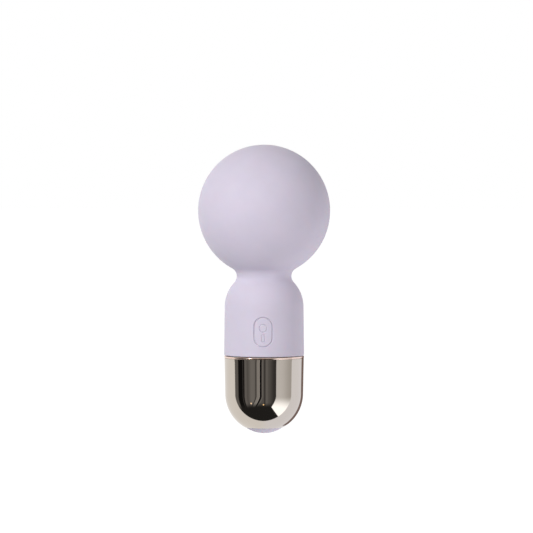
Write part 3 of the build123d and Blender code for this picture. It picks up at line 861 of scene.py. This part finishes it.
def floor():
    """A plain white floor, low enough for the open port cover. Mirror reflections leave it out and
    show the studio instead."""
    surface = Surface("pale_floor", 0.9)
    surface.colours(surface.noise(6.0), (0.3, (0.10, 0.10, 0.10)), (0.7, (0.12, 0.12, 0.12)))
    surface.set(Emission_Color=(1.0, 1.0, 1.0, 1.0), Emission_Strength=1.0, Specular_IOR_Level=0.0)
    surface.material.cycles.emission_sampling = "NONE"
    half, level = 6.0, -12.5 * MM
    corners = [(x * half, y * half, level) for x, y in ((-1, -1), (1, -1), (1, 1), (-1, 1))]
    plane = new_object("floor", corners, [[0, 1, 2, 3]], surface.material)
    plane.visible_glossy = False
    plane.visible_diffuse = False
    plane.visible_shadow = False


floor()


# ---- studio ----

class Sky:
    """The world's node tree. Its values depend only on the direction looked in."""

    def __init__(self):
        world = bpy.data.worlds.new("studio")
        bpy.context.scene.world = world
        world.use_nodes = True
        self.tree = world.node_tree
        self.tree.nodes.clear()
        self.direction = self.tree.nodes.new("ShaderNodeTexCoord").outputs["Generated"]
        split = self.tree.nodes.new("ShaderNodeSeparateXYZ")
        self.tree.links.new(self.direction, split.inputs[0])
        self.x, self.y, self.z = split.outputs
        self.drop = self.math("MULTIPLY", self.z, -1.0)
        ahead = self.math("MULTIPLY", self.y, -1.0)
        radians = self.math("ARCTAN2", self.x, ahead)
        self.azimuth = self.math("MULTIPLY", radians, 180 / math.pi)

    def feed(self, socket, value):
        """Link a socket to a node's output, or give it a number or a colour."""
        if isinstance(value, bpy.types.NodeSocket):
            self.tree.links.new(value, socket)
        elif isinstance(value, tuple) and socket.type == "RGBA":
            socket.default_value = (*value, 1.0)
        else:
            socket.default_value = value

    def math(self, operation, *values):
        node = self.tree.nodes.new("ShaderNodeMath")
        node.operation = operation
        for socket, value in zip(node.inputs, values):
            self.feed(socket, value)
        return node.outputs[0]

    def vector(self, operation, *values):
        """A vector operation. Its first output is a vector, and its second a number."""
        node = self.tree.nodes.new("ShaderNodeVectorMath")
        node.operation = operation
        for socket, value in zip(node.inputs, values):
            self.feed(socket, value)
        return node.outputs

    def step(self, value, start, end):
        """0 below start and 1 above end, smooth between."""
        node = self.tree.nodes.new("ShaderNodeMapRange")
        node.interpolation_type = "SMOOTHSTEP"
        node.inputs["From Min"].default_value = start
        node.inputs["From Max"].default_value = end
        self.feed(node.inputs["Value"], value)
        return node.outputs["Result"]

    def fall(self, value, start, end):
        """1 below start and 0 above end, smooth between."""
        return self.math("SUBTRACT", 1.0, self.step(value, start, end))

    def mixed(self, below, above, share):
        """Two colours mixed by share."""
        node = self.tree.nodes.new("ShaderNodeMix")
        node.data_type = "RGBA"
        self.feed(node.inputs[6], below)
        self.feed(node.inputs[7], above)
        self.feed(node.inputs[0], share)
        return node.outputs[2]

    def bent(self, bend):
        """Degrees right of the camera, with lines that bend to the left away from the horizon."""
        squared = self.math("MULTIPLY", self.z, self.z)
        return self.math("ADD", self.azimuth, self.math("MULTIPLY", squared, bend))

    def strip(self, colour, angle, centre, half_width, soft, level):
        """Another level where the angle is near centre, all in degrees."""
        away = self.math("ABSOLUTE", self.math("SUBTRACT", angle, centre))
        inside = self.fall(away, half_width - soft, half_width + soft)
        return self.mixed(colour, shade(level), inside)


def shade(level):
    """The slightly warm grey of things in the unlit room."""
    return (level * 1.04, level * 0.99, level * 0.96)


def dark_room(sky):
    """Curtains, stands and the gaps between them, from the left round to the front."""
    upright = sky.azimuth
    lean = sky.bent(56.0)
    room = sky.mixed(shade(0.125), shade(0.045), sky.step(upright, 13.0, 33.0))
    for angle, centre, half_width, soft, level in (
        (upright, -87.0, 6.5, 1.5, 0.145),
        (upright, -69.3, 11.3, 1.5, 0.008),
        (upright, -63.6, 1.0, 0.8, 0.060),
        (upright, -54.5, 3.5, 1.5, 0.165),
        (upright, -33.0, 9.0, 7.0, 0.215),
        (lean, -21.6, 1.6, 1.0, 0.045),
        (lean, -15.6, 4.4, 1.5, 0.310),
        (lean, -11.6, 0.7, 0.6, 0.520),
        (lean, -7.8, 3.1, 1.0, 0.008),
        (lean, -2.8, 2.0, 1.5, 0.190),
        (upright, 3.4, 2.2, 1.0, 0.060),
        (upright, 9.5, 3.0, 2.5, 0.170),
    ):
        room = sky.strip(room, angle, centre, half_width, soft, level)
    room = sky.mixed(shade(0.020), room, sky.step(sky.z, -0.62, -0.38))
    return sky.mixed(room, shade(0.620), sky.step(sky.z, 0.06, 0.55))


def add_lamps(sky, room):
    """Two small warm lamps low in the room, and a bright one above them."""
    for place, size, level in (
        ((-0.582, -0.693, -0.425), 0.030, (2.2, 1.6, 1.1)),
        ((-0.008, -0.865, -0.501), 0.030, (2.0, 1.3, 0.6)),
        ((-0.630, -0.732, 0.258), 0.080, (12.0, 11.8, 11.4)),
    ):
        gap = sky.vector("DISTANCE", sky.direction, place)[1]
        room = sky.mixed(level, room, sky.step(gap, size * 0.4, size * 1.6))
    return room


def add_panel(sky, room):
    """The soft panel on the right, which dims away from the camera and is brightest at its foot."""
    near, far = (0.770, 0.755, 0.760), (0.540, 0.520, 0.505)
    panel = sky.mixed(near, far, sky.step(sky.azimuth, 48.0, 88.0))
    panel = sky.mixed((1.75, 1.78, 1.85), panel, sky.step(sky.z, -0.62, -0.10))
    foot = sky.math("ADD", sky.z, sky.math("MULTIPLY", sky.x, 1.545))
    right = sky.step(sky.bent(30.0), 36.9, 38.5)
    inside = sky.math("MULTIPLY", right, sky.step(foot, -0.06, -0.01))
    return sky.mixed(room, panel, inside)


def add_sheet(sky, room):
    """The white sheet behind the object, with the brown edge that closes it on the right."""
    sheet = sky.mixed((0.965, 0.945, 0.935), (0.955, 0.950, 1.005), sky.step(sky.x, -0.2, 0.2))
    across = sky.math("POWER", sky.math("SUBTRACT", sky.x, 0.1), 2.0)
    down = sky.math("POWER", sky.math("SUBTRACT", sky.drop, 0.1), 2.0)
    inner = sky.fall(sky.math("ADD", across, down), 0.225, 0.285)
    under = sky.math("SUBTRACT", sky.drop, sky.math("MULTIPLY", sky.x, 2.07))
    edge = sky.math("MULTIPLY", inner, sky.fall(under, -0.03, 0.03))
    sheet = sky.mixed(sheet, (0.230, 0.165, 0.150), edge)
    right = sky.math("MULTIPLY", sky.math("MAXIMUM", sky.x, 0.0), 0.074)
    fold = sky.math("ADD", right, sky.math("MULTIPLY", sky.drop, 0.145))
    behind = sky.step(sky.math("ADD", sky.y, fold), 0.065, 0.091)
    return sky.mixed(room, sheet, behind)


def soft_world(sky):
    """The light that matte surfaces get: mostly from behind, from the right and from below."""
    level = (0.0, 0.0, 0.0)
    for side, colour in (
        (sky.y, (0.46, 0.47, 0.53)),
        (sky.x, (0.48, 0.46, 0.47)),
        (sky.z, (0.10, 0.10, 0.10)),
        (sky.drop, (0.61, 0.60, 0.63)),
    ):
        share = sky.math("MAXIMUM", side, 0.0)
        level = sky.vector("MULTIPLY_ADD", share, colour, level)[0]
    return level


def studio():
    """White for the camera, soft light for matte surfaces, and a photographer's room for the
    mirror metal: a dark room in front, a tall soft panel on the right and a white sheet behind."""
    sky = Sky()
    mirrored = add_sheet(sky, add_panel(sky, add_lamps(sky, dark_room(sky))))
    rays = sky.tree.nodes.new("ShaderNodeLightPath")
    seen = sky.mixed(soft_world(sky), mirrored, rays.outputs["Is Glossy Ray"])
    seen = sky.mixed(seen, (1.0, 1.0, 1.0), rays.outputs["Is Camera Ray"])
    background = sky.tree.nodes.new("ShaderNodeBackground")
    sky.tree.links.new(seen, background.inputs["Color"])
    output = sky.tree.nodes.new("ShaderNodeOutputWorld")
    sky.tree.links.new(background.outputs[0], output.inputs[0])


studio()


def direction_to(azimuth_deg, height_deg):
    """The direction of a place, by degrees right of the front and degrees up."""
    around = math.radians(azimuth_deg)
    up = math.radians(height_deg)
    return Vector((
        math.sin(around) * math.cos(up),
        -math.cos(around) * math.cos(up),
        math.sin(up),
    ))


def soft_light(name, azimuth_deg, height_deg, distance, size, watts, glossy=False):
    """A square lamp aimed at the middle of the object."""
    target = Vector((0.0, 0.0, 0.065))
    away = direction_to(azimuth_deg, height_deg)
    light = bpy.data.lights.new(name, "AREA")
    light.shape = "SQUARE"
    light.size = size
    light.energy = watts
    obj = bpy.data.objects.new(name, light)
    obj.location = target + away * distance
    obj.rotation_euler = away.to_track_quat("Z", "Y").to_euler()
    obj.visible_camera = False
    obj.visible_glossy = glossy
    bpy.context.scene.collection.objects.link(obj)


soft_light("key_left", -62.0, 30.0, 0.9, 0.55, 2.0)
soft_light("key_high", -75.0, 45.0, 1.0, 0.15, 0.95)
soft_light("key_front", -45.0, 35.0, 1.0, 0.15, 1.05)
soft_light("fill_front", -10.0, 10.0, 1.2, 0.80, 9.2)
soft_light("rim_left", -135.0, 15.0, 0.8, 0.50, 1.8)
soft_light("rim_right", 136.0, -31.0, 0.8, 0.20, 2.2)
soft_light("spark", -41.0, 12.0, 1.0, 0.035, 0.6, glossy=True)


# ---- camera ----

def camera():
    """A long lens, almost level, a little to the right of the button."""
    distance = 1.4
    view_height = 0.1939
    target = Vector((0.00087, 0.0, 0.0607))
    away = direction_to(1.5, 1.75)
    lens = bpy.data.cameras.new("camera")
    lens.sensor_width = 36.0
    lens.lens = lens.sensor_width / (view_height / distance)
    obj = bpy.data.objects.new("camera", lens)
    obj.location = target + away * distance
    obj.rotation_euler = away.to_track_quat("Z", "Y").to_euler()
    bpy.context.scene.collection.objects.link(obj)
    bpy.context.scene.camera = obj


camera()
bpy.context.scene.view_settings.view_transform = "Standard"
